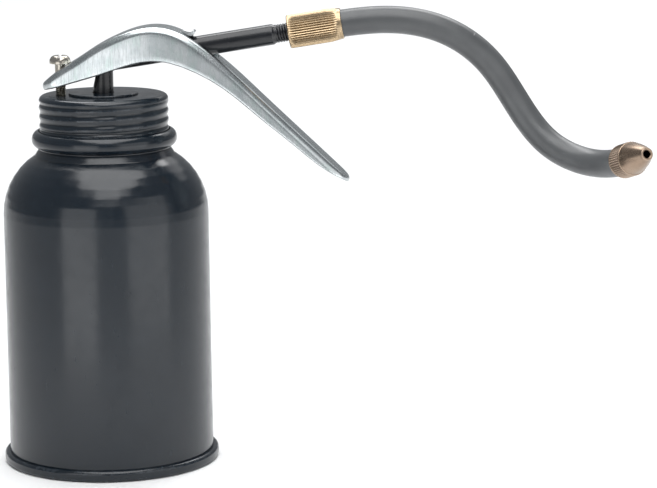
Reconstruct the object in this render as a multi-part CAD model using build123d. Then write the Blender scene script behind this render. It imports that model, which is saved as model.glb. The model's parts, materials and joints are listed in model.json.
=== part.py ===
from build123d import *
import os
from math import cos, hypot, pi, radians, sin, tan

# Pump oil can with a thumb lever and a flexible spout.  Millimetres, +Z up, the can stands
# on z = 0 with its axis on the Z axis, and the lever and spout point along +X.

# ---- can -----------------------------------------------------------------------------
SHEET = 0.7                 # wall of the can, its base and its screw cap
CAN_R_FOOT = 39.1           # outside radius of the body just above the seam
CAN_R_TOP = 38.9            # outside radius where the shoulder starts
SHOULDER_Z = 96.0
SHOULDER_R = 26.0           # radius of the shoulder's arc
SHOULDER_SWEEP = 58.0       # degrees of that arc
SEAM_R = 41.2
SEAM_H = 4.3
SEAM_ROLL = 0.5              # how far the seam's roll starts outside the body
SEAM_SLOPE = 1.2             # run of the panel's sloping edge
FOOT_Z = 0.9                # lower edge of the body, inside the seam
PANEL_Z = 2.6               # underside of the recessed base panel
NECK_R = 22.2               # root of the neck's rolled thread
NECK_THREAD = 0.45
NECK_PLAIN = 1.0            # plain band below and above the thread
NECK_TOP = 139.2
THROAT_R = 24.7             # where the shoulder runs into the bead
BEAD_R = 27.5
BEAD_Z = 124.3
BEAD_HALF_H = 3.2
LEDGE_H = 0.7               # rise of the ledge between the bead and the neck
THREAD_PITCH = 3.5

# ---- screw cap and the pump it carries ----------------------------------------------------
CAP_R = 24.5
CAP_GROOVE = 0.55           # depth of the rolled grooves
CAP_GROOVE_H = 1.9
CAP_GROOVE_START = 1.5      # lowest groove, above the cap's edge
CAP_LINING_GAP = 0.2
CAP_LINING_BEVEL = 1.2
CAP_TOP = 141.0
CAP_BOTTOM = 128.4
CAP_EDGE_R = 2.0
GASKET_T = 0.9
GASKET_IN_R = 20.5
GASKET_OUT_R = 21.9
HUB_R = 8.2
HUB_STEP_R = 7.2
HUB_BOTTOM = 118.0
HUB_STEP_Z = 124.0
FLANGE_R = 13.2
FLANGE_T = 0.7
FLANGE_BEVEL = 0.4
HEAD_GASKET_R = 11.4
BUSH_R = 5.5
BUSH_BOTTOM = 131.0
PACKING_BOTTOM = 128.0
PACKING_GRIP = 0.02         # gap between rod and packing
HUB_BORE_R = 4.2
RING_NUT_AF = 22.0
RING_NUT_H = 4.6
CYLINDER_BOTTOM = 62.0
STOP_T = 0.8

# ---- piston rod, which is also the rigid start of the spout ---------------------------------
ROD_R = 3.9
ROD_BORE_R = 2.7
RUNNING = 0.05              # radial clearance of a running fit
ROD_BOTTOM = 114.0
ELBOW_Z = 153.3             # where the rod's axis meets the spout's axis
ELBOW_R = 4.6
SPOUT_PITCH = 8.75          # degrees above the horizontal
NECKDOWN_S = 65.2           # distances S run along the spout's axis from the elbow
THREAD_S = 66.4
SPOUT_THREAD_R = 3.4
SPOUT_END_S = 78.0

PISTON_R = 6.9
PISTON_BOTTOM = 106.0
PISTON_TOP = 117.7
SEAL_Z = (109.4, 112.4)
SEAL_GROOVE_R = 5.9
DELIVERY_SEAT_Z = 108.0
DELIVERY_BALL_R = 2.3
BALL_SEAT_R = 1.8
BALL_GAP = 0.05
DELIVERY_CHAMBER_R = 3.0
DELIVERY_HOLE_R = 0.7
DELIVERY_HOLE_CIRCLE = 1.9
DELIVERY_HOLES = 4

SPRING_R = 5.3
SPRING_WIRE_R = 0.6
SPRING_COILS = 7
SPRING_GAP = 0.1            # room at each end of the spring

FOOT_BOTTOM = 60.0
FOOT_SEAT_Z = 62.5
FOOT_BALL_R = 2.5
FOOT_CHAMBER_R = 3.3
FOOT_CHAMBER_TOP = 68.0
FOOT_TAIL = 54.0
FOOT_HOLE_R = 1.1
FOOT_HOLE_CIRCLE = 4.4
FOOT_HOLES = 6
SUCTION_R = 4.0
SUCTION_BORE_R = 3.2
SUCTION_BOTTOM = 8.0
STRAINER_R = 4.7
STRAINER_BOTTOM = 5.0
STRAINER_TOP = 15.0
STRAINER_SLOTS = 8
STRAINER_SLOT = (4.0, 0.9, 1.8)
STRAINER_SLOT_Z = 7.0

# ---- fulcrum screw and lever ----------------------------------------------------------------
SCREW_X = -16.2
SCREW_R = 2.0
SCREW_HEAD_R = 4.0
SCREW_HEAD_Z = 152.6
SCREW_HEAD_H = 3.1
SCREW_BRIM_H = 1.4           # upright edge of the head, below its dome
SCREW_BRIM_BEVEL = 0.3
SCREW_DOME = (0.66, 0.45)   # point on the dome: share of the radius, drop from the top
SCREW_DRIVE_W = 1.2
SCREW_DRIVE_DEPTH = 1.5
SCREW_TIP = 134.6
SCREW_NUT_AF = 7.0
SCREW_NUT_H = 3.2

LEVER_W = 18.0
LEVER_T = 1.3
WEB = [(-23.3, 145.5), (-17.5, 149.8), (-9.7, 154.6), (-1.9, 159.6), (5.9, 163.5),
       (13.6, 166.2), (19.7, 167.0), (25.6, 166.3), (31.5, 163.9), (38.4, 159.3),
       (45.7, 153.6), (58.9, 141.4), (75.8, 125.3), (93.6, 108.4)]
RIM = [(92.6, 107.6), (87.9, 110.5), (82.3, 114.2), (71.2, 123.3), (60.0, 132.5),
       (47.0, 143.3), (32.5, 151.5), (20.0, 154.3), (11.0, 153.3), (2.5, 150.9),
       (-10.3, 147.2), (-22.4, 143.8)]
LEVER_TIP_R = 6.0
LEVER_END_R = 7.5
LEVER_SECTIONS = 24          # points that set the line of the web's underside
TUBE_SLOT = (30.1, 44.1)
TUBE_SLOT_W = 8.8
SCREW_SLOT_R = 2.9
SCREW_SLOT_L = 9.0
NIB = [(29.2, 164.4), (33.4, 163.9), (34.6, 165.7), (35.5, 165.4), (34.4, 162.6),
       (29.6, 163.2)]
NIB_W = 6.0

# ---- coupling nut, flexible spout and nozzle ------------------------------------------------
NUT_R = 6.3
NUT_START_S = 71.5
NUT_END_S = 91.8
NUT_TAPER_S = 86.9
NUT_END_R = 5.75
NUT_BEVEL = 0.5
NUT_SEAT_GAP = 0.2          # the nut's inner shoulder starts this far before the tube's end
HOSE_R = 5.15
HOSE_BORE_R = 2.75
HOSE_START_S = 80.45
HOSE_ARC_S = 92.0
WASHER_T = 0.8
WASHER_R = 4.6
NIPPLE_FLANGE_R = 4.9
NIPPLE_BORE_R = 1.9
NIPPLE_END_S = 90.0
LINK = 19.54                # length of one bending link of the flexible spout
LINK_GAP = 1.4              # room between two links' ends, so that they can tilt
# turn of each link, degrees: up from the spout's axis, and towards -Y
LINK_TURNS = [(-10.5, 0.0), (-21.5, 0.0), (-24.5, 0.0), (-15.0, 8.5), (23.5, 15.5),
              (25.5, 24.5), (4.5, 29.5)]
HOSE_IN_NOZZLE = 5.0
SPIGOT_R = 3.0              # threaded end of the nozzle's nipple
SPIGOT_END = 9.1
SPIGOT_FLANGE_T = 1.2
NOZZLE_R = 6.3
COLLAR_L = 7.6
NOZZLE_L = 18.7
COLLAR_BEVEL = 0.4
CONE_R = 6.0
CONE_BULGE = (4.9, 14.4)    # radius and distance of a point on the cone's side
TIP_R = 2.3
OUTLET_R = 1.4
OUTLET_L = 4.5
OUTLET_STEP = 0.5           # length of the step from the wide bore to the outlet
END_PLAY = 0.05             # axial gap between nipple and nozzle
SPIGOT_ROOM = 0.1
BLANK = 200.0               # longer than any piece, for shapes that cut right through


# ---- small helpers --------------------------------------------------------------------------
def lathe(*lines):
    """Turn a closed outline in the XZ plane, X being the radius, round the Z axis."""
    return revolve(make_face(Curve() + list(lines)), Axis.Z)


def turned(points):
    """Turn a closed polygon of (radius, z) corners round the Z axis."""
    return lathe(Polyline(*[(r, 0, z) for r, z in points], close=True))


def ring(inner, outer, low, high):
    return turned([(inner, low), (outer, low), (outer, high), (inner, high)])


def disc(radius, low, high):
    return Pos(0, 0, low) * extrude(Circle(radius), high - low)


def hex_nut(flats, bore, low, height):
    hexagon = RegularPolygon(flats / 2, 6, major_radius=False)
    return Pos(0, 0, low) * Rot(0, 0, 30) * extrude(hexagon - Circle(bore), height)


def ball_centre(seat_z, ball_r):
    """Height of a ball that sits on the edge of its seat, with a hair of clearance."""
    return seat_z + (ball_r**2 - BALL_SEAT_R**2) ** 0.5 + BALL_GAP


# ---- can ------------------------------------------------------------------------------------
def wall_outline(offset):
    """The can's outer line from the seam to the neck, moved inwards by offset."""
    centre = (CAN_R_TOP - SHOULDER_R, SHOULDER_Z)
    reach = SHOULDER_R - offset
    sweep = radians(SHOULDER_SWEEP)
    shoulder_end = (centre[0] + reach * cos(sweep), centre[1] + reach * sin(sweep))
    shoulder_mid = (centre[0] + reach * cos(sweep / 2), centre[1] + reach * sin(sweep / 2))
    bead_half_h = BEAD_HALF_H - offset
    bead_in = (THROAT_R - offset, BEAD_Z - bead_half_h)
    bead_out = (THROAT_R - offset, BEAD_Z + bead_half_h)
    foot = (CAN_R_FOOT - offset, FOOT_Z)
    top = (CAN_R_TOP - offset, SHOULDER_Z)
    neck_foot = (NECK_R - offset, BEAD_Z + BEAD_HALF_H + LEDGE_H)
    neck_top = (NECK_R - offset, NECK_TOP)

    def at(point):
        return (point[0], 0, point[1])

    lines = [
        Line(at(foot), at(top)),
        ThreePointArc(at(top), at(shoulder_mid), at(shoulder_end)),
        Line(at(shoulder_end), at(bead_in)),
        ThreePointArc(at(bead_in), (BEAD_R - offset, 0, BEAD_Z), at(bead_out)),
        Line(at(bead_out), at(neck_foot)),
    ]
    return lines, at(foot), at(neck_foot), at(neck_top)


def can_shell():
    outer, foot_out, neck_out, top_out = wall_outline(0.0)
    inner, foot_in, neck_in, top_in = wall_outline(SHEET)
    thread = []
    z = neck_out[2] + NECK_PLAIN
    start = neck_out
    while z + THREAD_PITCH / 2 < NECK_TOP - NECK_PLAIN:
        low, high = (NECK_R, 0, z), (NECK_R, 0, z + THREAD_PITCH / 2)
        crest = (NECK_R + NECK_THREAD, 0, z + THREAD_PITCH / 4)
        thread += [Line(start, low), ThreePointArc(low, crest, high)]
        start = high
        z += THREAD_PITCH
    thread += [Line(start, top_out), Line(top_out, top_in), Line(top_in, neck_in)]
    return lathe(*outer, *thread, *inner, Line(foot_in, foot_out))


def can_base():
    """Recessed panel with a rolled seam that wraps the foot of the body."""
    wall_in = CAN_R_FOOT - SHEET
    chuck_in = wall_in - SHEET
    seam_mid = (SEAM_R, 0, SEAM_H / 2)
    rest_out = (CAN_R_FOOT + SEAM_ROLL, 0, 0)
    seam_top = (CAN_R_FOOT + SEAM_ROLL, 0, SEAM_H)
    lean = (CAN_R_FOOT - CAN_R_TOP) / (SHOULDER_Z - FOOT_Z)
    body_at_seam = (CAN_R_FOOT - lean * (SEAM_H - FOOT_Z), 0, SEAM_H)
    panel_top = PANEL_Z + SHEET
    body_inner_top = (wall_in - lean * (panel_top - FOOT_Z), 0, panel_top)
    corners = [
        body_inner_top, (0, 0, panel_top), (0, 0, PANEL_Z),
        (chuck_in - SEAM_SLOPE, 0, PANEL_Z), (chuck_in, 0, 0), rest_out,
    ]
    return lathe(
        ThreePointArc(rest_out, seam_mid, seam_top),
        Line(seam_top, body_at_seam),
        Line(body_at_seam, (CAN_R_FOOT, 0, FOOT_Z)),
        Line((CAN_R_FOOT, 0, FOOT_Z), (wall_in, 0, FOOT_Z)),
        Line((wall_in, 0, FOOT_Z), body_inner_top),
        Polyline(*corners),
    )


# ---- cap and pump ---------------------------------------------------------------------------
def screw_cap():
    """Pressed cap with three rolled grooves round its skirt and holes for hub and screw."""
    skirt = CAP_R - SHEET
    grooves = []
    start = (CAP_R, 0, CAP_BOTTOM)
    for step in range(3):
        z = CAP_BOTTOM + CAP_GROOVE_START + step * THREAD_PITCH
        low, high = (CAP_R, 0, z), (CAP_R, 0, z + CAP_GROOVE_H)
        root = (CAP_R - CAP_GROOVE, 0, z + CAP_GROOVE_H / 2)
        grooves += [Line(start, low), ThreePointArc(low, root, high)]
        start = high
    edge_low = (CAP_R, 0, CAP_TOP - CAP_EDGE_R)
    edge_high = (CAP_R - CAP_EDGE_R, 0, CAP_TOP)
    bend = CAP_EDGE_R * (1 - 0.5**0.5)
    edge_mid = (CAP_R - bend, 0, CAP_TOP - bend)
    under = CAP_TOP - SHEET
    lining = skirt - CAP_GROOVE + CAP_LINING_GAP
    bevel = CAP_LINING_BEVEL
    profile = lathe(
        *grooves,
        Line(start, edge_low),
        ThreePointArc(edge_low, edge_mid, edge_high),
        Polyline(edge_high, (HUB_R, 0, CAP_TOP), (HUB_R, 0, under), (lining - bevel, 0, under),
                 (lining, 0, under - bevel), (lining, 0, CAP_BOTTOM), (CAP_R, 0, CAP_BOTTOM)),
    )
    return profile - Pos(SCREW_X, 0, 0) * disc(SCREW_R, CAP_BOTTOM, CAP_TOP + 1)


def pump_head():
    """Flange on the cap with a hub below it, bored for the bush, packing and rod."""
    flange_top = CAP_TOP + FLANGE_T
    return lathe(
        Polyline((HUB_BORE_R, 0, HUB_BOTTOM), (HUB_STEP_R, 0, HUB_BOTTOM),
                 (HUB_STEP_R, 0, HUB_STEP_Z), (HUB_R, 0, HUB_STEP_Z), (HUB_R, 0, CAP_TOP),
                 (FLANGE_R, 0, CAP_TOP), (FLANGE_R, 0, flange_top - FLANGE_BEVEL),
                 (FLANGE_R - FLANGE_BEVEL, 0, flange_top), (BUSH_R, 0, flange_top),
                 (BUSH_R, 0, PACKING_BOTTOM), (HUB_BORE_R, 0, PACKING_BOTTOM), close=True),
    )


def piston():
    seal_low, seal_high = SEAL_Z
    stop_z = ROD_BOTTOM - STOP_T
    return turned([
        (BALL_SEAT_R, PISTON_BOTTOM), (PISTON_R, PISTON_BOTTOM), (PISTON_R, seal_low),
        (SEAL_GROOVE_R, seal_low), (SEAL_GROOVE_R, seal_high), (PISTON_R, seal_high),
        (PISTON_R, PISTON_TOP), (ROD_R, PISTON_TOP), (ROD_R, stop_z), (DELIVERY_CHAMBER_R, stop_z),
        (DELIVERY_CHAMBER_R, DELIVERY_SEAT_Z), (BALL_SEAT_R, DELIVERY_SEAT_Z),
    ])


def pierced_stop(outer, low, hole_r, hole_circle_r, count):
    """A thin disc that stops a valve ball and lets oil past it."""
    plate = disc(outer, low, low + STOP_T)
    for turn in range(count):
        angle = 2 * pi * turn / count
        hole = Pos(hole_circle_r * cos(angle), hole_circle_r * sin(angle), 0)
        plate -= hole * disc(hole_r, low - STOP_T, low + 2 * STOP_T)
    return plate


def foot_valve():
    mouth = FOOT_CHAMBER_TOP
    return turned([
        (BALL_SEAT_R, FOOT_TAIL), (SUCTION_BORE_R, FOOT_TAIL), (SUCTION_BORE_R, FOOT_BOTTOM),
        (HUB_R, FOOT_BOTTOM), (HUB_R, CYLINDER_BOTTOM), (HUB_STEP_R, CYLINDER_BOTTOM),
        (HUB_STEP_R, mouth), (FOOT_CHAMBER_R, mouth), (FOOT_CHAMBER_R, FOOT_SEAT_Z),
        (BALL_SEAT_R, FOOT_SEAT_Z),
    ])


def strainer():
    """Cup on the end of the suction tube with slots round its side."""
    floor_top = STRAINER_BOTTOM + SHEET
    cup = turned([
        (0, STRAINER_BOTTOM), (STRAINER_R, STRAINER_BOTTOM), (STRAINER_R, STRAINER_TOP),
        (SUCTION_R, STRAINER_TOP), (SUCTION_R, floor_top), (0, floor_top),
    ])
    slot = Pos(STRAINER_R, 0, STRAINER_SLOT_Z) * Box(*STRAINER_SLOT)
    for turn in range(STRAINER_SLOTS):
        cup -= Rot(0, 0, 360 * turn / STRAINER_SLOTS) * slot
    return cup


def return_spring():
    low = FOOT_CHAMBER_TOP + STOP_T + SPRING_WIRE_R + SPRING_GAP
    high = PISTON_BOTTOM - SPRING_WIRE_R - SPRING_GAP
    helix = Helix(pitch=(high - low) / SPRING_COILS, height=high - low, radius=SPRING_R)
    section = Plane(helix @ 0, z_dir=helix % 0) * Circle(SPRING_WIRE_R)
    return Pos(0, 0, low) * sweep(section, path=helix, is_frenet=True)


# ---- fulcrum screw and lever ----------------------------------------------------------------
def pivot_screw():
    """Slotted screw with a domed head, standing up out of the cap."""
    low, high = SCREW_HEAD_Z, SCREW_HEAD_Z + SCREW_HEAD_H
    brim = low + SCREW_BRIM_H
    bevel = SCREW_BRIM_BEVEL
    crown = (SCREW_HEAD_R * SCREW_DOME[0], 0, high - SCREW_DOME[1])
    head = lathe(
        Polyline((0, 0, high), (0, 0, low), (SCREW_HEAD_R - bevel, 0, low),
                 (SCREW_HEAD_R, 0, low + bevel), (SCREW_HEAD_R, 0, brim)),
        ThreePointArc((SCREW_HEAD_R, 0, brim), crown, (0, 0, high)),
    )
    slot = Pos(0, 0, high) * Box(SCREW_DRIVE_W, 3 * SCREW_HEAD_R, 2 * SCREW_DRIVE_DEPTH)
    shank = disc(SCREW_R, SCREW_TIP, low)
    return Pos(SCREW_X, 0, 0) * (head - slot + shank)


def web_line(depth):
    """Side view of the web's top, or of a line that lies depth below it."""
    top = Spline(*[(x, 0, z) for x, z in WEB])
    if depth == 0:
        return top
    steps = [step / LEVER_SECTIONS for step in range(LEVER_SECTIONS + 1)]
    inward = [Vector((top % u).Z, 0, -(top % u).X) * depth for u in steps]
    return Spline(*[(top @ u) + move for u, move in zip(steps, inward)])


def lever_side():
    """Side view of the pressed channel's outside: web line above, flange rim below."""
    web = web_line(0)
    rim = Spline(*[(x, 0, z) for x, z in RIM])
    return make_face(Curve() + [web, Line(web @ 1, rim @ 0), rim, Line(rim @ 1, web @ 0)])


def cavity_side():
    """Side view of the room under the web, open downwards."""
    roof = web_line(LEVER_T)
    start, end = roof @ 0, roof @ 1
    below_start, below_end = (start.X, 0, 0), (end.X, 0, 0)
    return make_face(Curve() + [
        roof, Line(end, below_end), Line(below_end, below_start), Line(below_start, start),
    ])


def plan_prism(inset):
    """Upright prism on the lever's plan, round at both ends, inset all round."""
    left, right = WEB[0][0] + inset, WEB[-1][0] - inset
    blank = Rectangle(right - left, LEVER_W - 2 * inset)
    corners = blank.vertices().group_by(Axis.X)
    blank = fillet(corners[0], LEVER_TIP_R - inset)
    blank = fillet(blank.vertices().group_by(Axis.X)[-1], LEVER_END_R - inset)
    return Pos((left + right) / 2, 0, 0) * extrude(blank, BLANK)


def lever():
    """Pressed channel, flanges down, slotted for the spout tube and pierced for the screw."""
    outer = extrude(lever_side(), LEVER_W, both=True) & plan_prism(0.0)
    cavity = extrude(cavity_side(), LEVER_W, both=True) & plan_prism(LEVER_T)
    low, high = TUBE_SLOT
    slot = Pos((low + high) / 2, 0, 0) * Box(high - low, TUBE_SLOT_W, 2 * BLANK)
    eye = SlotOverall(SCREW_SLOT_L, 2 * SCREW_SLOT_R)
    screw_slot = Pos(SCREW_X, 0, 0) * extrude(eye, BLANK)
    nib_side = Polyline(*[(x, 0, z) for x, z in NIB], close=True)
    nib = extrude(make_face(nib_side), NIB_W / 2, both=True)
    return outer - cavity - slot - screw_slot + nib


# ---- spout ----------------------------------------------------------------------------------
ALONG = Vector(cos(radians(SPOUT_PITCH)), 0, sin(radians(SPOUT_PITCH)))
ELBOW = Vector(0, 0, ELBOW_Z)
SPOUT_FRAME = Plane(origin=ELBOW, z_dir=ALONG)


def on_spout(shape):
    """Put a shape that was made on the Z axis onto the spout's axis, z becoming S."""
    return SPOUT_FRAME * shape


def rod_path(end_s):
    """The rod's axis: up the can's axis, round the elbow and along the spout."""
    turn = radians(90 - SPOUT_PITCH)
    tangent = ELBOW_R * tan(turn / 2)
    bend_low = Vector(0, 0, ELBOW_Z - tangent)
    bend_high = ELBOW + ALONG * tangent
    up = Line(Vector(0, 0, ROD_BOTTOM), bend_low)
    bend = TangentArc(bend_low, bend_high, tangent=(0, 0, 1))
    out = Line(bend_high, ELBOW + ALONG * end_s)
    return Curve() + [up, bend, out]


def spout_tube():
    """Hollow piston rod bent over into the rigid part of the spout, threaded at its end."""
    section = Circle(ROD_R) - Circle(ROD_BORE_R)
    tube = sweep(Plane(origin=(0, 0, ROD_BOTTOM)) * section, path=rod_path(NECKDOWN_S))
    end = turned([
        (ROD_BORE_R, NECKDOWN_S), (ROD_R, NECKDOWN_S), (SPOUT_THREAD_R, THREAD_S),
        (SPOUT_THREAD_R, SPOUT_END_S), (ROD_BORE_R, SPOUT_END_S),
    ])
    return tube + on_spout(end)


def coupling_nut():
    thread_r = SPOUT_THREAD_R + RUNNING
    hose_r = HOSE_R + 2 * RUNNING
    shoulder_s = SPOUT_END_S - NUT_SEAT_GAP
    return on_spout(turned([
        (thread_r, NUT_START_S), (NUT_R - NUT_BEVEL, NUT_START_S),
        (NUT_R, NUT_START_S + NUT_BEVEL), (NUT_R, NUT_TAPER_S), (NUT_END_R, NUT_END_S),
        (hose_r, NUT_END_S), (hose_r, shoulder_s), (thread_r, shoulder_s),
    ]))


def hose_nipple():
    flange_s = SPOUT_END_S + WASHER_T + RUNNING
    return on_spout(turned([
        (NIPPLE_BORE_R, flange_s), (NIPPLE_FLANGE_R, flange_s),
        (NIPPLE_FLANGE_R, HOSE_START_S), (HOSE_BORE_R, HOSE_START_S),
        (HOSE_BORE_R, NIPPLE_END_S), (NIPPLE_BORE_R, NIPPLE_END_S),
    ]))


def link_frames():
    """Frame at the start of each link of the flexible spout, and one at its far end."""
    along = ALONG
    rise = Vector(-sin(radians(SPOUT_PITCH)), 0, cos(radians(SPOUT_PITCH)))
    side = Vector(0, -1, 0)
    place = ELBOW + ALONG * HOSE_ARC_S
    frames = [(place, along, rise, side)]
    for lift, sway in LINK_TURNS:
        angle = radians(hypot(lift, sway))
        towards = (rise * lift + side * sway) * (1 / hypot(lift, sway))
        reach = LINK / angle
        place = place + along * (reach * sin(angle)) + towards * (reach * (1 - cos(angle)))
        hinge = Axis((0, 0, 0), along.cross(towards))
        turn = hypot(lift, sway)
        along, rise, side = (v.rotate(hinge, turn) for v in (along, rise, side))
        frames.append((place, along, rise, side))
    return frames


def hose_link(number, frames):
    """One link: an arc of thick tube, cut back at the ends that face another link."""
    lift, sway = LINK_TURNS[number]
    place, along, rise, side = frames[number]
    angle = radians(hypot(lift, sway))
    towards = (rise * lift + side * sway) * (1 / hypot(lift, sway))
    reach = LINK / angle
    first, last = number == 0, number == len(LINK_TURNS) - 1
    trim = LINK_GAP / 2 / reach
    begin = 0.0 if first else trim
    finish = angle if last else angle - trim

    def point(a):
        return place + along * (reach * sin(a)) + towards * (reach * (1 - cos(a)))

    arc = ThreePointArc(point(begin), point((begin + finish) / 2), point(finish))
    wall = Circle(HOSE_R) - Circle(HOSE_BORE_R)
    link = sweep(Plane(origin=arc @ 0, z_dir=arc % 0) * wall, path=arc)
    if first:
        link += on_spout(ring(HOSE_BORE_R, HOSE_R, HOSE_START_S, HOSE_ARC_S))
    if last:
        link += Plane(origin=point(angle), z_dir=frames[-1][1]) * ring(
            HOSE_BORE_R, HOSE_R, 0.0, HOSE_IN_NOZZLE)
    return link


def nozzle_nipple():
    flange = HOSE_IN_NOZZLE
    spigot = flange + SPIGOT_FLANGE_T
    return turned([
        (NIPPLE_BORE_R, 0.0), (HOSE_BORE_R, 0.0), (HOSE_BORE_R, flange),
        (NIPPLE_FLANGE_R, flange), (NIPPLE_FLANGE_R, spigot), (SPIGOT_R, spigot),
        (SPIGOT_R, SPIGOT_END), (NIPPLE_BORE_R, SPIGOT_END),
    ])


def nozzle():
    hose_r = HOSE_R + 2 * RUNNING
    seat = HOSE_IN_NOZZLE + SPIGOT_FLANGE_T + END_PLAY
    step = SPIGOT_END + SPIGOT_ROOM
    bulge = (CONE_BULGE[0], 0, CONE_BULGE[1])
    outlet_start = NOZZLE_L - OUTLET_L
    bevel = COLLAR_BEVEL
    return lathe(
        Polyline((hose_r, 0, 0), (NOZZLE_R - bevel, 0, 0), (NOZZLE_R, 0, bevel),
                 (NOZZLE_R, 0, COLLAR_L - bevel), (CONE_R, 0, COLLAR_L)),
        ThreePointArc((CONE_R, 0, COLLAR_L), bulge, (TIP_R, 0, NOZZLE_L)),
        Polyline((TIP_R, 0, NOZZLE_L), (OUTLET_R, 0, NOZZLE_L),
                 (OUTLET_R, 0, outlet_start), (NIPPLE_BORE_R, 0, outlet_start - OUTLET_STEP),
                 (NIPPLE_BORE_R, 0, step), (SPIGOT_R + RUNNING, 0, step),
                 (SPIGOT_R + RUNNING, 0, seat), (hose_r, 0, seat), (hose_r, 0, 0)),
    )


def build():
    """Every node of the oil can, by name."""
    cap_under = CAP_TOP - SHEET
    gasket_low = cap_under - GASKET_T
    frames = link_frames()
    end_frame = Plane(origin=frames[-1][0], z_dir=frames[-1][1])
    at_screw = Pos(SCREW_X, 0, 0)
    parts = {
        "can_shell": can_shell(),
        "can_base": can_base(),
        "screw_cap": screw_cap(),
        "cap_gasket": ring(GASKET_IN_R, GASKET_OUT_R, NECK_TOP + RUNNING, cap_under),
        "pump_head": pump_head(),
        "head_gasket": ring(HUB_R, HEAD_GASKET_R, gasket_low, cap_under),
        "ring_nut": hex_nut(RING_NUT_AF, HUB_R, gasket_low - RING_NUT_H, RING_NUT_H),
        "rod_bush": ring(ROD_R + RUNNING, BUSH_R, BUSH_BOTTOM, CAP_TOP + FLANGE_T),
        "rod_packing": ring(ROD_R + PACKING_GRIP, BUSH_R, PACKING_BOTTOM, BUSH_BOTTOM),
        "pump_cylinder": ring(HUB_STEP_R, HUB_R, CYLINDER_BOTTOM, HUB_STEP_Z),
        "foot_valve": foot_valve(),
        "foot_ball_stop": pierced_stop(HUB_STEP_R, FOOT_CHAMBER_TOP, FOOT_HOLE_R,
                                       FOOT_HOLE_CIRCLE, FOOT_HOLES),
        "foot_ball": Pos(0, 0, ball_centre(FOOT_SEAT_Z, FOOT_BALL_R)) * Sphere(FOOT_BALL_R),
        "suction_tube": ring(SUCTION_BORE_R, SUCTION_R, SUCTION_BOTTOM, FOOT_BOTTOM),
        "strainer": strainer(),
        "return_spring": return_spring(),
        "piston": piston(),
        "piston_seal": ring(SEAL_GROOVE_R, HUB_STEP_R - RUNNING, *SEAL_Z),
        "delivery_ball": Pos(0, 0, ball_centre(DELIVERY_SEAT_Z, DELIVERY_BALL_R))
        * Sphere(DELIVERY_BALL_R),
        "delivery_ball_stop": pierced_stop(ROD_R, ROD_BOTTOM - STOP_T, DELIVERY_HOLE_R,
                                           DELIVERY_HOLE_CIRCLE, DELIVERY_HOLES),
        "spout_tube": spout_tube(),
        "pivot_screw": pivot_screw(),
        "pivot_washer": at_screw * ring(SCREW_R, SCREW_HEAD_R, gasket_low, cap_under),
        "pivot_nut": at_screw * hex_nut(SCREW_NUT_AF, SCREW_R, gasket_low - SCREW_NUT_H,
                                        SCREW_NUT_H),
        "lever": lever(),
        "coupling_nut": coupling_nut(),
        "spout_washer": on_spout(ring(ROD_BORE_R, WASHER_R, SPOUT_END_S,
                                      SPOUT_END_S + WASHER_T)),
        "hose_nipple": hose_nipple(),
        "nozzle_nipple": end_frame * nozzle_nipple(),
        "nozzle": end_frame * nozzle(),
    }
    for number in range(len(LINK_TURNS)):
        parts[f"hose_link_{number + 1}"] = hose_link(number, frames)
    return parts


os.makedirs("parts", exist_ok=True)
for node, shape in build().items():
    export_step(shape, f"parts/{node}.step")
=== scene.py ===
import cmath
import json
import math

import bmesh
import bpy
import numpy as np
from mathutils import Matrix, Vector


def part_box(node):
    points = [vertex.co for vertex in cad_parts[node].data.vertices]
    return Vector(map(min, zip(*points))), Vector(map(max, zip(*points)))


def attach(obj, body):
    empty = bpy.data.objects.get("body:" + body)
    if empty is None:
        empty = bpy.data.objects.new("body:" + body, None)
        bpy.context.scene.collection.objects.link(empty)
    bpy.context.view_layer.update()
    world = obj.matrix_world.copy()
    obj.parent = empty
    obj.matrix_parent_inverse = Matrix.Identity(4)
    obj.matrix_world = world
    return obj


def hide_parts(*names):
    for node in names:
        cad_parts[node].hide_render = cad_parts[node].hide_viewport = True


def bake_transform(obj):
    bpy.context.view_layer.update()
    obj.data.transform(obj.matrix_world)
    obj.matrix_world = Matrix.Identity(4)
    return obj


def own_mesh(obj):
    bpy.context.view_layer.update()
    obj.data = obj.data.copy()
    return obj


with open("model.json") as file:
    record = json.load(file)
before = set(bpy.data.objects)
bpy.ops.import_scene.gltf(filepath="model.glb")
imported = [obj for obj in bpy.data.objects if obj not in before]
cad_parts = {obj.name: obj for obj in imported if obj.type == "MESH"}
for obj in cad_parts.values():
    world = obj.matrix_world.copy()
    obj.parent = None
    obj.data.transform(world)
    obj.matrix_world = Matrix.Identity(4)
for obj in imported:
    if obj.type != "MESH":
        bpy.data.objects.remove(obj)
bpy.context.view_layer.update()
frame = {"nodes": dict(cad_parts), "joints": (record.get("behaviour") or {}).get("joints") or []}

# Pump oil can.  Shapes are worked out in millimetres and written to the meshes in metres.
MM = 0.001
ARC_STEP = math.radians(8)      # turn between two points of a rounded corner
SUPPORT = 0.15                  # a point this far before and after each corner holds the flats flat


# ---- places read from the frame --------------------------------------------------------------
def span(node):
    """Lowest and highest corner of a CAD node, in millimetres."""
    low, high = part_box(node)
    return low / MM, high / MM


def joint(name):
    """Place in millimetres, and direction, of a joint of the frame."""
    found = next(j for j in frame["joints"] if j["name"] == name)
    return Vector(found["pos_m"]) / MM, Vector(found["axis"]).normalized()


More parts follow.
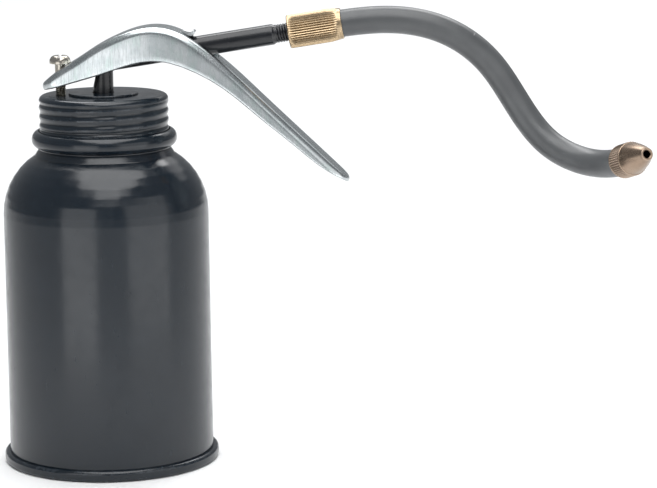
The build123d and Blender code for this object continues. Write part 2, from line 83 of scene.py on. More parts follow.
SEAM_R = span("can_base")[1].x
CAN_R = span("can_shell")[1].x
NECK_TOP = span("can_shell")[1].z
CAP_R = span("screw_cap")[1].x
CAP_LOW, CAP_TOP = span("screw_cap")[0].z, span("screw_cap")[1].z
FLANGE_R = span("pump_head")[1].x
ROD_R = span("spout_tube")[1].y
ROD_LOW = span("spout_tube")[0].z
SCREW_X = (span("pivot_screw")[0].x + span("pivot_screw")[1].x) / 2
HEAD_R = (span("pivot_screw")[1].x - span("pivot_screw")[0].x) / 2
HEAD_TOP = span("pivot_screw")[1].z
SCREW_TIP = span("pivot_screw")[0].z
ON_SPOUT, ALONG = joint("nut_turn")
ELBOW = ON_SPOUT - ALONG * (ON_SPOUT.x / ALONG.x)
SPOUT_FRAME = Matrix.Translation(ELBOW) @ ALONG.to_track_quat("Z", "X").to_matrix().to_4x4()
NOZZLE_AT, NOZZLE_AXIS = joint("nozzle_turn")
NOZZLE_FRAME = (Matrix.Translation(NOZZLE_AT)
                @ NOZZLE_AXIS.to_track_quat("Z", "Y").to_matrix().to_4x4())
BENDS = [joint(f"spout_bend_{k}")[0] for k in range(1, 7)]


# ---- outlines ----------------------------------------------------------------------------------
def rounded(corners):
    """Outline through corners of (r, z, corner radius), with each corner rounded off."""
    line = [complex(r, z) for r, z, _ in corners]
    points = [line[0]]
    for before, corner, after, spec in zip(line, line[1:], line[2:], corners[1:]):
        into = (corner - before) / abs(corner - before)
        out = (after - corner) / abs(after - corner)
        turn = cmath.phase(out / into)
        radius = spec[2]
        if not radius:
            points.append(corner)
            continue
        start = corner - into * radius * math.tan(abs(turn) / 2)
        centre = start + 1j * into * math.copysign(radius, turn)
        steps = max(2, round(abs(turn) / ARC_STEP))
        if abs(start - points[-1]) > 3 * SUPPORT:
            points.append(start - into * SUPPORT)
        points += [centre + (start - centre) * cmath.exp(1j * turn * k / steps)
                   for k in range(steps + 1)]
        end = points[-1]
        if abs(after - end) > 3 * SUPPORT:
            points.append(end + out * SUPPORT)
    points.append(line[-1])
    return [(p.real, p.imag) for p in points]


def divided(outline, step):
    """The outline with its long runs divided into pieces no longer than step."""
    points = [outline[0]]
    for (r0, z0), (r1, z1) in zip(outline, outline[1:]):
        count = max(1, math.ceil(math.hypot(r1 - r0, z1 - z0) / step))
        points += [(r0 + (r1 - r0) * k / count, z0 + (z1 - z0) * k / count)
                   for k in range(1, count + 1)]
    return points


def smoothstep(low, high, value):
    t = min(1.0, max(0.0, (value - low) / (high - low)))
    return t * t * (3 - 2 * t)


# ---- meshes --------------------------------------------------------------------------------------
def turned(outline, segments, relief=None, place=None):
    """Vertices and faces of an outline of (r, z) turned round the Z axis.  An outline that ends on the
    axis gets a pole there, and any other is closed from its last point to its first.  relief(r, z, angle)
    gives the radius at an angle."""
    verts, rings = [], []
    for r, z in outline:
        if r < 1e-6:
            rings.append([len(verts)] * segments)
            verts.append(Vector((0, 0, z)))
            continue
        rings.append(list(range(len(verts), len(verts) + segments)))
        for k in range(segments):
            angle = 2 * math.pi * k / segments
            radius = relief(r, z, angle) if relief else r
            verts.append(Vector((radius * math.cos(angle), radius * math.sin(angle), z)))
    pairs = list(zip(rings, rings[1:]))
    if outline[0][0] > 1e-6 or outline[-1][0] > 1e-6:
        pairs.append((rings[-1], rings[0]))
    faces = []
    for low, high in pairs:
        for k in range(segments):
            after = (k + 1) % segments
            corners = [low[k], low[after], high[after], high[k]]
            face = [c for i, c in enumerate(corners) if c not in corners[:i]]
            if len(face) > 2:
                faces.append(face)
    if place:
        verts = [place @ v for v in verts]
    return verts, faces


def loft(loops, closed=True):
    """Vertices and faces of a tube through loops of points, joined end to end if it is closed."""
    size = len(loops[0])
    verts = [v for loop in loops for v in loop]
    faces = []
    for i in range(len(loops) if closed else len(loops) - 1):
        low, high = i * size, (i + 1) % len(loops) * size
        faces += [[low + k, low + (k + 1) % size, high + (k + 1) % size, high + k]
                  for k in range(size)]
    return verts, faces


def mark_edges(mesh):
    """Writes the attribute "edge": above 0 on outside edges, where wear shows, and below 0 in
    hollows, which the materials darken as painted shade."""
    edges = bmesh.new()
    edges.from_mesh(mesh)
    reach = 1.2 * MM
    values = []
    for vert in edges.verts:
        bends = [0.0]
        for edge in vert.link_edges:
            if len(edge.link_faces) == 2:
                centres = [face.calc_center_median() for face in edge.link_faces]
                apart = max((centres[0] - centres[1]).length, 1e-6)
                bends.append(edge.calc_face_angle_signed(0.0) / apart * reach)
        strongest = max(bends, key=abs)
        values.append(max(-1.0, min(1.0, strongest)))
    edges.free()
    mesh.attributes.new("edge", "FLOAT", "POINT").data.foreach_set("value", values)


def piece(name, shape, material, body, replaces, sharp=38, blend=None):
    """A finished piece from vertices in millimetres: closed, smooth, and riding on its body, unless it is
    given a blend, when it stays fixed where it is made.
    """
    verts, faces = shape
    mesh = bpy.data.meshes.new(name)
    mesh.from_pydata([v * MM for v in verts], [], faces)
    tidy = bmesh.new()
    tidy.from_mesh(mesh)
    bmesh.ops.recalc_face_normals(tidy, faces=tidy.faces)
    tidy.to_mesh(mesh)
    tidy.free()
    obj = bpy.data.objects.new(name, mesh)
    bpy.context.scene.collection.objects.link(obj)
    finish_piece(obj, material, sharp)
    if blend:
        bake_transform(obj)
    else:
        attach(obj, body)
    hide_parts(*replaces)
    return obj


def finish_piece(obj, material, sharp):
    mesh = obj.data
    mesh.polygons.foreach_set("use_smooth", [True] * len(mesh.polygons))
    mesh.set_sharp_from_angle(angle=math.radians(sharp))
    mark_edges(mesh)
    mesh.materials.clear()
    mesh.materials.append(material)


def cut(obj, cutters):
    """Cuts solids, given as vertices and faces in millimetres, out of a piece's mesh."""
    for number, (verts, faces) in enumerate(cutters):
        mesh = bpy.data.meshes.new("cutter")
        mesh.from_pydata([v * MM for v in verts], [], faces)
        tidy = bmesh.new()
        tidy.from_mesh(mesh)
        bmesh.ops.recalc_face_normals(tidy, faces=tidy.faces)
        tidy.to_mesh(mesh)
        tidy.free()
        tool = bpy.data.objects.new(f"cutter_{number}", mesh)
        bpy.context.scene.collection.objects.link(tool)
        change = obj.modifiers.new("cut", "BOOLEAN")
        change.operation = "DIFFERENCE"
        change.solver = "EXACT"
        change.object = tool
        bpy.context.view_layer.update()
        ready = obj.evaluated_get(bpy.context.evaluated_depsgraph_get())
        made = bpy.data.meshes.new_from_object(ready)
        obj.modifiers.clear()
        obj.data = made
        bpy.data.objects.remove(tool)


def prism(outline, low, high):
    """Upright solid on a plan outline of (x, y)."""
    loops = [[Vector((x, y, z)) for x, y in outline] for z in (low, high)]
    verts, faces = loft(loops, closed=False)
    size = len(outline)
    return verts, faces + [list(range(size))[::-1], list(range(size, 2 * size))]


def stadium(centre_x, length, width, steps=10):
    """Plan outline of a slot with round ends."""
    radius = width / 2
    reach = length / 2 - radius
    turn = [math.pi * k / steps for k in range(steps + 1)]
    right = [(centre_x + reach + radius * math.sin(a), -radius * math.cos(a)) for a in turn]
    left = [(centre_x - reach - radius * math.sin(a), radius * math.cos(a)) for a in turn]
    return right + left


# ---- materials -----------------------------------------------------------------------------------
class Paint:
    """A procedural material: one Principled shader and the nodes that feed it."""

    def __init__(self, name, rough, metal=0.0, **sockets):
        self.material = bpy.data.materials.new(name)
        self.material.use_nodes = True
        self.tree = self.material.node_tree
        self.shader = self.tree.nodes["Principled BSDF"]
        self.shader.inputs["Roughness"].default_value = rough
        self.shader.inputs["Metallic"].default_value = metal
        for socket, value in sockets.items():
            self.shader.inputs[socket.replace("_", " ")].default_value = value
        self.place = self.tree.nodes.new("ShaderNodeTexCoord").outputs["Object"]

    def link(self, source, target):
        if isinstance(source, (int, float)):
            target.default_value = source
        elif isinstance(source, tuple):
            target.default_value = (*source, 1.0)
        else:
            self.tree.links.new(source, target)

    def noise(self, size_mm, detail=3.0, stretch=(1, 1, 1), rough=0.55):
        """Noise with features of about size_mm, longer along an axis whose stretch is above 1."""
        mapping = self.tree.nodes.new("ShaderNodeMapping")
        mapping.inputs["Scale"].default_value = [1 / s for s in stretch]
        self.link(self.place, mapping.inputs["Vector"])
        node = self.tree.nodes.new("ShaderNodeTexNoise")
        node.inputs["Scale"].default_value = 1 / (size_mm * MM)
        node.inputs["Detail"].default_value = detail
        node.inputs["Roughness"].default_value = rough
        self.link(mapping.outputs["Vector"], node.inputs["Vector"])
        return node.outputs["Fac"]

    def remap(self, value, low, high, to_low=0.0, to_high=1.0):
        node = self.tree.nodes.new("ShaderNodeMapRange")
        node.interpolation_type = "SMOOTHSTEP"
        self.link(value, node.inputs["Value"])
        limits = {"From Min": low, "From Max": high, "To Min": to_low, "To Max": to_high}
        for socket, limit in limits.items():
            node.inputs[socket].default_value = limit
        return node.outputs["Result"]

    def math(self, operation, a, b):
        node = self.tree.nodes.new("ShaderNodeMath")
        node.operation = operation
        self.link(a, node.inputs[0])
        self.link(b, node.inputs[1])
        return node.outputs["Value"]

    def mix(self, share, a, b):
        node = self.tree.nodes.new("ShaderNodeMix")
        node.data_type = "RGBA"
        self.link(share, node.inputs["Factor"])
        self.link(a, node.inputs["A"])
        self.link(b, node.inputs["B"])
        return node.outputs["Result"]

    def edge(self):
        node = self.tree.nodes.new("ShaderNodeAttribute")
        node.attribute_name = "edge"
        return node.outputs["Fac"]

    def colour(self, source):
        self.link(source, self.shader.inputs["Base Color"])

    def roughness(self, source):
        self.link(source, self.shader.inputs["Roughness"])

    def bump(self, height, depth_mm, strength=1.0):
        node = self.tree.nodes.new("ShaderNodeBump")
        node.inputs["Strength"].default_value = strength
        node.inputs["Distance"].default_value = depth_mm * MM
        self.link(height, node.inputs["Height"])
        self.link(node.outputs["Normal"], self.shader.inputs["Normal"])


def enamel(name, colour, light, rough, chip):
    """Gloss enamel on steel: faint clouding, orange peel, fine scuffs, paler rubbed edges, and painted
    shade that darkens its hollows.
    """
    paint = Paint(name, rough, Specular_IOR_Level=0.5)
    clouds = paint.remap(paint.noise(14), 0.35, 0.7)
    base = paint.mix(clouds, colour, light)
    scuffs = paint.remap(paint.noise(0.9, 4, (1, 1, 7)), 0.66, 0.76, 0.0, 0.25)
    base = paint.mix(scuffs, base, chip)
    rubbed = paint.remap(paint.edge(), 0.55, 1.0)
    patches = paint.remap(paint.noise(2.5, 5), 0.46, 0.62, 0.0, 0.5)
    base = paint.mix(paint.math("MULTIPLY", rubbed, patches), base, chip)
    # Painted shade: the hollows are darkened towards a third of the paint's own colour.
    grime_and_shade = paint.remap(paint.edge(), -0.3, -0.9, 0.0, 0.6)
    paint.colour(paint.mix(grime_and_shade, base, tuple(c * 0.35 for c in colour)))
    worn = paint.remap(paint.noise(5, 4), 0.3, 0.75, rough * 0.8, rough * 1.35)
    paint.roughness(paint.math("ADD", worn, paint.math("MULTIPLY", scuffs, 0.5)))
    paint.bump(paint.noise(1.6, 2), 0.02, 0.35)
    return paint.material


def metal(name, colour, shade, rough, grain_mm, stretch, grain_depth=0.006, grime_and_shade=(0.06, 0.05, 0.04),
          spots=0.0, tint=None):
    """Bare or plated metal: directional grain, clouded tone, bright worn edges, painted shade in hollows.
    """
    paint = Paint(name, rough, metal=1.0)
    clouds = paint.remap(paint.noise(6, 4), 0.3, 0.72)
    base = paint.mix(clouds, colour, shade)
    if tint:
        patches = paint.remap(paint.noise(3.5, 5, (1, 1, 2)), 0.5, 0.66, 0.0, 0.55)
        base = paint.mix(patches, base, tint)
    grain = paint.noise(grain_mm, 5, stretch, 0.65)
    streaks = paint.remap(grain, 0.42, 0.72, 0.0, 0.5)
    base = paint.mix(streaks, base, tuple(c * 0.72 for c in shade))
    bright = paint.remap(paint.edge(), 0.35, 1.0, 0.0, 0.7)
    base = paint.mix(bright, base, tuple(min(1.0, c * 1.15) for c in colour))
    # Painted shade: the hollows are darkened towards the dark colour given for them.
    hollow_shade = paint.remap(paint.edge(), -0.2, -0.9, 0.0, 0.65)
    base = paint.mix(hollow_shade, base, grime_and_shade)
    if spots:
        freckles = paint.remap(paint.noise(1.1, 6), 0.68, 0.76, 0.0, spots)
        base = paint.mix(freckles, base, grime_and_shade)
    paint.colour(base)
    paint.roughness(paint.remap(grain, 0.25, 0.75, rough * 0.75, rough * 1.4))
    paint.bump(grain, grain_depth, 0.8)
    return paint.material


def soft_plastic(name, colour, light, rough, grain_mm, dust):
    """PVC or rubber: fine grain, slightly uneven tone, a trace of dust."""
    paint = Paint(name, rough)
    base = paint.mix(paint.remap(paint.noise(9, 3), 0.3, 0.7), colour, light)
    specks = paint.remap(paint.noise(0.7, 5), 0.66, 0.74, 0.0, dust)
    paint.colour(paint.mix(specks, base, (0.42, 0.42, 0.41)))
    paint.roughness(paint.remap(paint.noise(4, 4), 0.3, 0.7, rough * 0.88, rough * 1.15))
    paint.bump(paint.noise(grain_mm, 4), 0.015, 0.6)
    return paint.material


CAN_PAINT = enamel("can_enamel", (0.0035, 0.0075, 0.0125), (0.005, 0.0095, 0.015), 0.20,
                   (0.045, 0.055, 0.065))
SPOUT_PAINT = enamel("spout_enamel", (0.006, 0.007, 0.009), (0.009, 0.010, 0.013), 0.20,
                     (0.05, 0.05, 0.055))
# Where a metal below is given a colour after its grain depth, that colour darkens its hollows as painted
# shade.
ZINC = metal("zinc_plate", (0.54, 0.565, 0.575), (0.40, 0.44, 0.45), 0.23, 0.28, (1, 1, 26), 0.006,
             (0.16, 0.17, 0.17), tint=(0.42, 0.50, 0.48))
SCREW_METAL = metal("screw_plate", (0.52, 0.49, 0.43), (0.38, 0.35, 0.30), 0.20, 0.35, (4, 4, 1),
                    0.004, (0.07, 0.06, 0.04))
PLAIN_STEEL = metal("plain_steel", (0.55, 0.55, 0.56), (0.42, 0.42, 0.43), 0.34, 0.3, (1, 1, 9))
SPRING_STEEL = metal("spring_steel", (0.36, 0.36, 0.38), (0.25, 0.25, 0.27), 0.3, 0.25, (1, 1, 1))
BALL_STEEL = metal("ball_steel", (0.78, 0.78, 0.80), (0.70, 0.70, 0.72), 0.1, 0.4, (1, 1, 1), 0.001)
NUT_BRASS = metal("nut_brass", (0.435, 0.33, 0.21), (0.31, 0.23, 0.14), 0.28, 0.25, (9, 1, 1), 0.005,
                  (0.07, 0.04, 0.02))
NOZZLE_BRASS = metal("nozzle_brass", (0.34, 0.255, 0.19), (0.25, 0.18, 0.13), 0.28, 0.22, (1, 1, 1),
                     0.004, (0.07, 0.05, 0.035))
INNER_BRASS = metal("inner_brass", (0.76, 0.58, 0.32), (0.62, 0.44, 0.22), 0.3, 0.25, (6, 6, 1))
RUBBER = soft_plastic("seal_rubber", (0.012, 0.012, 0.013), (0.02, 0.02, 0.02), 0.6, 0.25, 0.15)
HOSE_PVC = soft_plastic("hose_pvc", (0.064, 0.067, 0.070), (0.076, 0.080, 0.083), 0.36, 0.3, 0.05)

# CAD nodes that are shown as they are, with their materials
NODE_MATERIALS = {
    "cap_gasket": RUBBER, "head_gasket": RUBBER, "rod_packing": RUBBER, "piston_seal": RUBBER,
    "spout_washer": RUBBER, "ring_nut": PLAIN_STEEL,
    "pump_cylinder": INNER_BRASS, "foot_valve": INNER_BRASS, "foot_ball_stop": INNER_BRASS,
    "foot_ball": BALL_STEEL, "suction_tube": PLAIN_STEEL, "strainer": INNER_BRASS,
    "piston": INNER_BRASS, "delivery_ball": BALL_STEEL,
    "delivery_ball_stop": INNER_BRASS, "pivot_washer": PLAIN_STEEL, "pivot_nut": PLAIN_STEEL,
    "hose_nipple": INNER_BRASS, "nozzle_nipple": INNER_BRASS,
}


# ---- can -----------------------------------------------------------------------------------------
SHEET = 0.7
SHOULDER_R = 26.0               # the shoulder's arc
SHOULDER_Z = 96.0
SHOULDER_SWEEP = math.radians(58)
WALL_TOP_R = 38.9
THROAT_R, BEAD_R, BEAD_Z, BEAD_ARC_R = 24.7, 27.5, 124.3, 3.2
LIP_R, LIP_H = 24.95, 3.3       # inside of the bead's lip, and its rise above the bead's middle
TROUGH_Z = 126.1                # floor between the lip and the neck
NECK_R, NECK_THREAD = 22.2, 0.45
THREAD_PITCH = 3.5
NECK_THREAD_Z = (129.6, 137.6)
FOOT_Z = 0.9                    # lower edge of the wall, inside the seam


def can_line(inset):
    """The can's wall from its foot to its neck, moved in by inset.  The bead below the neck ends in a
    lip that stands clear of the neck, so that the cap's skirt sinks behind it."""
    lean = SHOULDER_R * math.tan(SHOULDER_SWEEP / 2)
    crown = (WALL_TOP_R, SHOULDER_Z + lean)
    arc_end = (crown[0] - lean * math.sin(SHOULDER_SWEEP), crown[1] + lean * math.cos(SHOULDER_SWEEP))
    half = BEAD_ARC_R - inset
    middle_r = BEAD_R - BEAD_ARC_R
    below = [(middle_r + half * math.cos(math.radians(a)), BEAD_Z + half * math.sin(math.radians(a)))
             for a in range(-60, 1, 8)]
    lower = rounded([
        (CAN_R - inset, FOOT_Z, 0),
        (crown[0] - inset, crown[1] - inset * 0.55, SHOULDER_R - inset),
        (arc_end[0] - inset, arc_end[1], 1.5),
        (THROAT_R - inset, BEAD_Z - half, 0.45),
        below[0] + (0,),
    ])
    if inset:
        floor_z = TROUGH_Z - inset
        top = rounded([below[-1] + (0,), (LIP_R + 0.6, floor_z, 0.5), (NECK_R - inset, floor_z, 0.4),
                       (NECK_R - inset, NECK_TOP - 0.4, 0)])
        return lower + below[1:-1] + top
    above = [(LIP_R + (BEAD_R - LIP_R) * math.cos(math.radians(a)),
              BEAD_Z + LIP_H * math.sin(math.radians(a))) for a in range(4, 80, 8)]
    top = rounded([above[-1] + (0,), (LIP_R, BEAD_Z + LIP_H, 0.12), (LIP_R, TROUGH_Z, 0.3),
                   (NECK_R, TROUGH_Z, 0.3), (NECK_R, NECK_TOP, 0.4), (NECK_R - SHEET, NECK_TOP, 0)])
    return lower + below[1:-1] + above[:-1] + top


def thread(start_z, end_z, root_r, depth, pitch):
    """Relief of a rolled right-hand thread that fades out at both ends."""
    def relief(r, z, angle):
        if abs(r - root_r) > 0.05 or not start_z - pitch < z < end_z + pitch:
            return r
        fade = smoothstep(start_z - 0.6, start_z + 0.6, z) * smoothstep(end_z + 0.6, end_z - 0.6, z)
        return r + depth * fade * (0.5 - 0.5 * math.cos(2 * math.pi * (z / pitch - angle / (2 * math.pi))))
    return relief


def add_can():
    """The drawn body from its foot to its threaded neck."""
    outer = can_line(0.0)[:-1]
    inner = can_line(SHEET)
    outline = divided(outer, 0.45 * THREAD_PITCH / 2) + inner[::-1]
    relief = thread(*NECK_THREAD_Z, NECK_R, NECK_THREAD, THREAD_PITCH)
    piece("can_body", turned(outline, 180, relief), CAN_PAINT, "can", ["can_shell"])


PANEL_Z, BEAD_DOWN = 2.6, 0.9   # underside of the base's panel, and the depth of its pressed ring
CHUCK_R = CAN_R - 2 * SHEET     # inside of the seam


def add_base():
    """Rolled seam that wraps the foot of the wall, and the recessed panel with a pressed ring."""
    seam_top, wall_r = span("can_base")[1].z, CAN_R - 0.1
    ring_z = PANEL_Z - BEAD_DOWN
    outline = rounded([
        (0, PANEL_Z, 0), (CHUCK_R - 9, PANEL_Z, 0.6), (CHUCK_R - 10, ring_z, 0.6),
        (CHUCK_R - 5, ring_z, 0.6), (CHUCK_R - 4, PANEL_Z, 0.6), (CHUCK_R - 1.2, PANEL_Z, 0.6),
        (CHUCK_R, 0, 0.35), (SEAM_R - 0.05, 0, 1.5), (SEAM_R, seam_top / 2, 2.0),
        (SEAM_R - 0.05, seam_top, 1.45), (wall_r, seam_top, 0.3), (wall_r, seam_top - 1.2, 0),
        (wall_r, PANEL_Z + SHEET, 0), (0, PANEL_Z + SHEET, 0),
    ])
    piece("can_bottom", turned(outline, 180), CAN_PAINT, "can", ["can_base"])


# ---- cap and flange ------------------------------------------------------------------------------
SEAT_R = 8.2                    # hole in the cap for the pump's hub
SKIRT_LOW = CAP_LOW - 1.3       # the skirt reaches down behind the bead's lip
CAP_GROOVE, CAP_GROOVE_PHASE = 0.50, math.radians(108)
CAP_EDGE_R = 2.0
CAP_WALL = 1.05                 # the skirt's sheet and the groove in it


def cap_relief(r, z, angle):
    """One helical groove rolled into the cap's skirt."""
    if r < CAP_R - 0.02:
        return r
    turns = (z - CAP_LOW) / THREAD_PITCH - (angle + CAP_GROOVE_PHASE) / (2 * math.pi)
    fade = smoothstep(SKIRT_LOW + 0.6, SKIRT_LOW + 1.8, z) * smoothstep(CAP_TOP - 1.6, CAP_TOP - 2.9, z)
    return r - CAP_GROOVE * fade * (0.5 + 0.5 * math.cos(2 * math.pi * turns))


def add_cap():
    """The pressed cap, open below, with a seat for the pump in its top."""
    inner_r = CAP_R - CAP_WALL
    skirt = divided([(CAP_R, SKIRT_LOW + 0.35), (CAP_R, CAP_TOP - CAP_EDGE_R - 0.2)], 0.3)
    top = rounded([skirt[-1] + (0,), (CAP_R, CAP_TOP, CAP_EDGE_R), (SEAT_R, CAP_TOP, 0)])[1:]
    under = rounded([(SEAT_R, CAP_TOP - SHEET, 0), (inner_r, CAP_TOP - SHEET, 1.1),
                     (inner_r, SKIRT_LOW, 0.2), (CAP_R - 0.3, SKIRT_LOW, 0.3), skirt[0] + (0,)])[:-1]
    piece("cap_shell", turned(skirt + top + under, 180, cap_relief), CAN_PAINT, "cap",
          ["screw_cap"])


HUB_R, HUB_STEP_R, HUB_STEP_Z = 8.2, 7.2, 124.0
HUB_BORE_R, PACKING_Z = 4.2, 128.0
GUIDE_R, GUIDE_GAP = 5.5, 0.05
FLANGE_LIP_R, FLANGE_LIP_T = 4.15, 0.45     # the lip over the rod guide


def add_flange():
    """Flange with the hub below it, a lip that hides the rod guide, and the guide."""
    low, high = span("pump_head")
    top, under_lip = high.z, high.z - FLANGE_LIP_T
    outline = rounded([
        (HUB_BORE_R, low.z + 1, 0), (HUB_BORE_R, low.z, 0.2), (HUB_STEP_R, low.z, 0.4),
        (HUB_STEP_R, HUB_STEP_Z, 0.1), (HUB_R, HUB_STEP_Z, 0.3), (HUB_R, CAP_TOP, 0),
        (FLANGE_R, CAP_TOP, 0.12), (FLANGE_R, top, 0.4), (FLANGE_LIP_R, top, 0.12),
        (FLANGE_LIP_R, under_lip, 0), (GUIDE_R, under_lip, 0), (GUIDE_R, PACKING_Z, 0.1),
        (HUB_BORE_R, PACKING_Z, 0.1), (HUB_BORE_R, low.z + 2, 0),
    ])
    piece("pump_flange", turned(outline, 120), CAN_PAINT, "cap", ["pump_head"])
    guide_low, bore_r, guide_top = span("rod_bush")[0].z, ROD_R + GUIDE_GAP, under_lip - GUIDE_GAP
    guide = [(bore_r, guide_low + 0.3), (bore_r + 0.3, guide_low), (GUIDE_R, guide_low),
             (GUIDE_R, guide_top), (bore_r, guide_top)]
    piece("rod_guide", turned(guide, 64), INNER_BRASS, "cap", ["rod_bush"])


# ---- fulcrum screw -------------------------------------------------------------------------------
def screw_relief(root_z, top_z, depth, pitch, major_r):
    """Relief of a sharp thread on the screw's shank."""
    def relief(r, z, angle):
        if abs(r - major_r) > 0.02 or not root_z < z < top_z:
            return r
        fade = smoothstep(top_z, top_z - 0.8, z) * smoothstep(root_z, root_z + 0.4, z)
        wave = abs(((z / pitch - angle / (2 * math.pi)) % 1.0) * 2 - 1)
        return r - depth * fade * wave
    return relief


SHANK_R, HEAD_H = 2.0, 3.1
DRIVE_W, DRIVE_DEPTH = 1.2, 1.5
SCREW_THREAD, SCREW_PITCH = 0.3, 0.7
THREAD_ABOVE_CAP = 3.4


def add_screw():
    """The slotted screw with a domed head that the lever turns on."""
    head_z = HEAD_TOP - HEAD_H
    shank = divided([(SHANK_R, SCREW_TIP + 0.5), (SHANK_R, head_z)], 0.09)
    dome = rounded([(SHANK_R, head_z, 0), (HEAD_R, head_z, 0.3), (HEAD_R, HEAD_TOP, 2.4),
                    (0, HEAD_TOP + 0.25, 0)])
    outline = [(0, SCREW_TIP), (SHANK_R - 0.5, SCREW_TIP)] + shank + dome[1:]
    outline = [(r, min(z, HEAD_TOP)) for r, z in outline]
    relief = screw_relief(SCREW_TIP + 0.2, CAP_TOP + THREAD_ABOVE_CAP, SCREW_THREAD, SCREW_PITCH, SHANK_R)
    place = Matrix.Translation((SCREW_X, 0, 0))
    screw = piece("fulcrum_screw", turned(outline, 48, relief, place), SCREW_METAL, "cap",
                  ["pivot_screw"])
    left, right = SCREW_X - DRIVE_W / 2, SCREW_X + DRIVE_W / 2
    blade = [(left, -6), (right, -6), (right, 6), (left, 6)]
    cut(screw, [prism(blade, HEAD_TOP - DRIVE_DEPTH, HEAD_TOP + 2)])
    finish_piece(screw, SCREW_METAL, 34)


# ---- lever ---------------------------------------------------------------------------------------
# Side view of the pressed channel in millimetres: top of the web, and lower edge of the flanges
WEB = [(-23.7, 144.9), (-17.5, 149.8), (-9.7, 154.6), (-1.9, 159.6), (5.9, 163.5),
       (13.6, 166.2), (19.7, 167.0), (25.6, 166.3), (31.5, 163.9), (38.4, 159.3),
       (45.7, 153.6), (58.9, 141.4), (75.8, 125.3), (93.5, 108.5)]
RIM = [(92.6, 107.6), (87.9, 110.5), (82.3, 114.2), (71.2, 123.3), (60.0, 132.5),
       (47.0, 143.3), (32.5, 151.4), (20.0, 154.3), (11.0, 152.8), (0.9, 149.5),
       (-8.8, 146.6), (-22.4, 142.9)]
NIB = [(29.4, 163.9, 0), (33.0, 163.0, 0.8), (34.4, 162.95, 0.8), (35.6, 164.6, 0.4), (34.8, 165.2, 0.4),
       (33.7, 164.1, 0.3), (33.0, 163.95, 0.3), (29.8, 164.9, 0.2), (29.4, 163.9, 0)]
NIB_HALF = 2.9
LEVER_T = 1.3
BEND_R = 2.5
TIP_ROUND, END_ROUND = 6.2, 8.8     # how far the plan's rounding reaches in from each end
TIP_BLUNT, END_BLUNT = 0.35, 0.18   # width left at each end, as a share of the whole
MIN_DEPTH = 1.60                    # the flange's least depth, at the far end
TUBE_SLOT, TUBE_SLOT_W = (30.1, 44.1), 8.8      # ends along X, and width
SCREW_SLOT = (9.0, 5.8)             # length and width
CROWN = 0.18                        # the web's crown across its width
END_STEPS, WEB_ACROSS = 14, 10      # points round each end of the plan, and strips across the web
TUBE_CUT, SCREW_CUT = (130, 185), (140, 175)    # heights that the slots' cutters run between
NIB_NARROW = 0.86                   # size of the nib's side faces, as a share of its middle


def spline(points, count):
    """Points on a smooth curve through the given ones, evenly spaced by chord."""
    at = np.array(points, float)
    chord = np.concatenate([[0], np.cumsum(np.linalg.norm(np.diff(at, axis=0), axis=1))])
    size = len(at)
    matrix, right = np.zeros((size, size)), np.zeros(at.shape)
    gaps = np.diff(chord)
    for i in range(1, size - 1):
        before, after = gaps[i - 1], gaps[i]
        matrix[i, i - 1:i + 2] = 1 / before, 2 / before + 2 / after, 1 / after
        right[i] = 3 * ((at[i] - at[i - 1]) / before**2 + (at[i + 1] - at[i]) / after**2)
    matrix[0, :2] = 2, 1
    right[0] = 3 * (at[1] - at[0]) / gaps[0]
    matrix[-1, -2:] = 1, 2
    right[-1] = 3 * (at[-1] - at[-2]) / gaps[-1]
    slopes = np.linalg.solve(matrix, right)
    out = []
    for s in np.linspace(0, chord[-1], count):
        i = min(int(np.searchsorted(chord, s, side="right")) - 1, size - 2)
        gap = gaps[i]
        t = (s - chord[i]) / gap
        basis = (2 * t**3 - 3 * t**2 + 1, t**3 - 2 * t**2 + t, 3 * t**2 - 2 * t**3, t**3 - t**2)
        out.append(basis[0] * at[i] + basis[1] * gap * slopes[i]
                   + basis[2] * at[i + 1] + basis[3] * gap * slopes[i + 1])
    return np.array(out)


class Lever:
    """Side view of the lever: place, up direction and flange depth at each length along the web."""

    def __init__(self):
        self.line = spline(WEB, 400)
        steps = np.linalg.norm(np.diff(self.line, axis=0), axis=1)
        self.along = np.concatenate([[0], np.cumsum(steps)])
        self.length = self.along[-1]
        self.tangent = np.gradient(self.line, self.along, axis=0)
        self.tangent /= np.linalg.norm(self.tangent, axis=1)[:, None]
        self.rim = spline(RIM, 400)
        self.depths = np.array([self.depth_at(i) for i in range(len(self.line))])
        self.half = (span("lever")[1].y - span("lever")[0].y) / 2

    def depth_at(self, i):
        """How far below the web the rim lies, square to the web."""
        to_rim = self.rim - self.line[i]
        nearest = np.argmin(np.abs(to_rim @ self.tangent[i]))
        normal = np.array([-self.tangent[i][1], self.tangent[i][0]])
        return max(MIN_DEPTH, -(to_rim[nearest] @ normal))

    def depth(self, s):
        return float(np.interp(s, self.along, self.depths))

    def point(self, s, y, d):
        """The point at length s along the web, y across it and d below it."""
        x, z = (np.interp(s, self.along, self.line[:, k]) for k in (0, 1))
        tx, tz = (np.interp(s, self.along, self.tangent[:, k]) for k in (0, 1))
        size = math.hypot(tx, tz)
        crown = CROWN * (1 - (y / self.half) ** 2) * smoothstep(0, 12, s)
        d -= crown - CROWN
        return Vector((x + d * tz / size, y, z - d * tx / size))

    def half_width(self, s):
        """Half the width of the lever at length s, as it tapers and rounds off to both ends."""
        taper = self.half - 1.1 * (1 - smoothstep(4, 48, s)) - 0.9 * smoothstep(60, self.length, s)
        left = max(0.0, 1 - s / TIP_ROUND)
        right = max(0.0, 1 - (self.length - s) / END_ROUND)
        left_share = TIP_BLUNT + (1 - TIP_BLUNT) * math.sqrt(max(0.0, 1 - left**2))
        right_share = END_BLUNT + (1 - END_BLUNT) * math.sqrt(max(0.0, 1 - right**2))
        return taper * min(left_share, right_share)


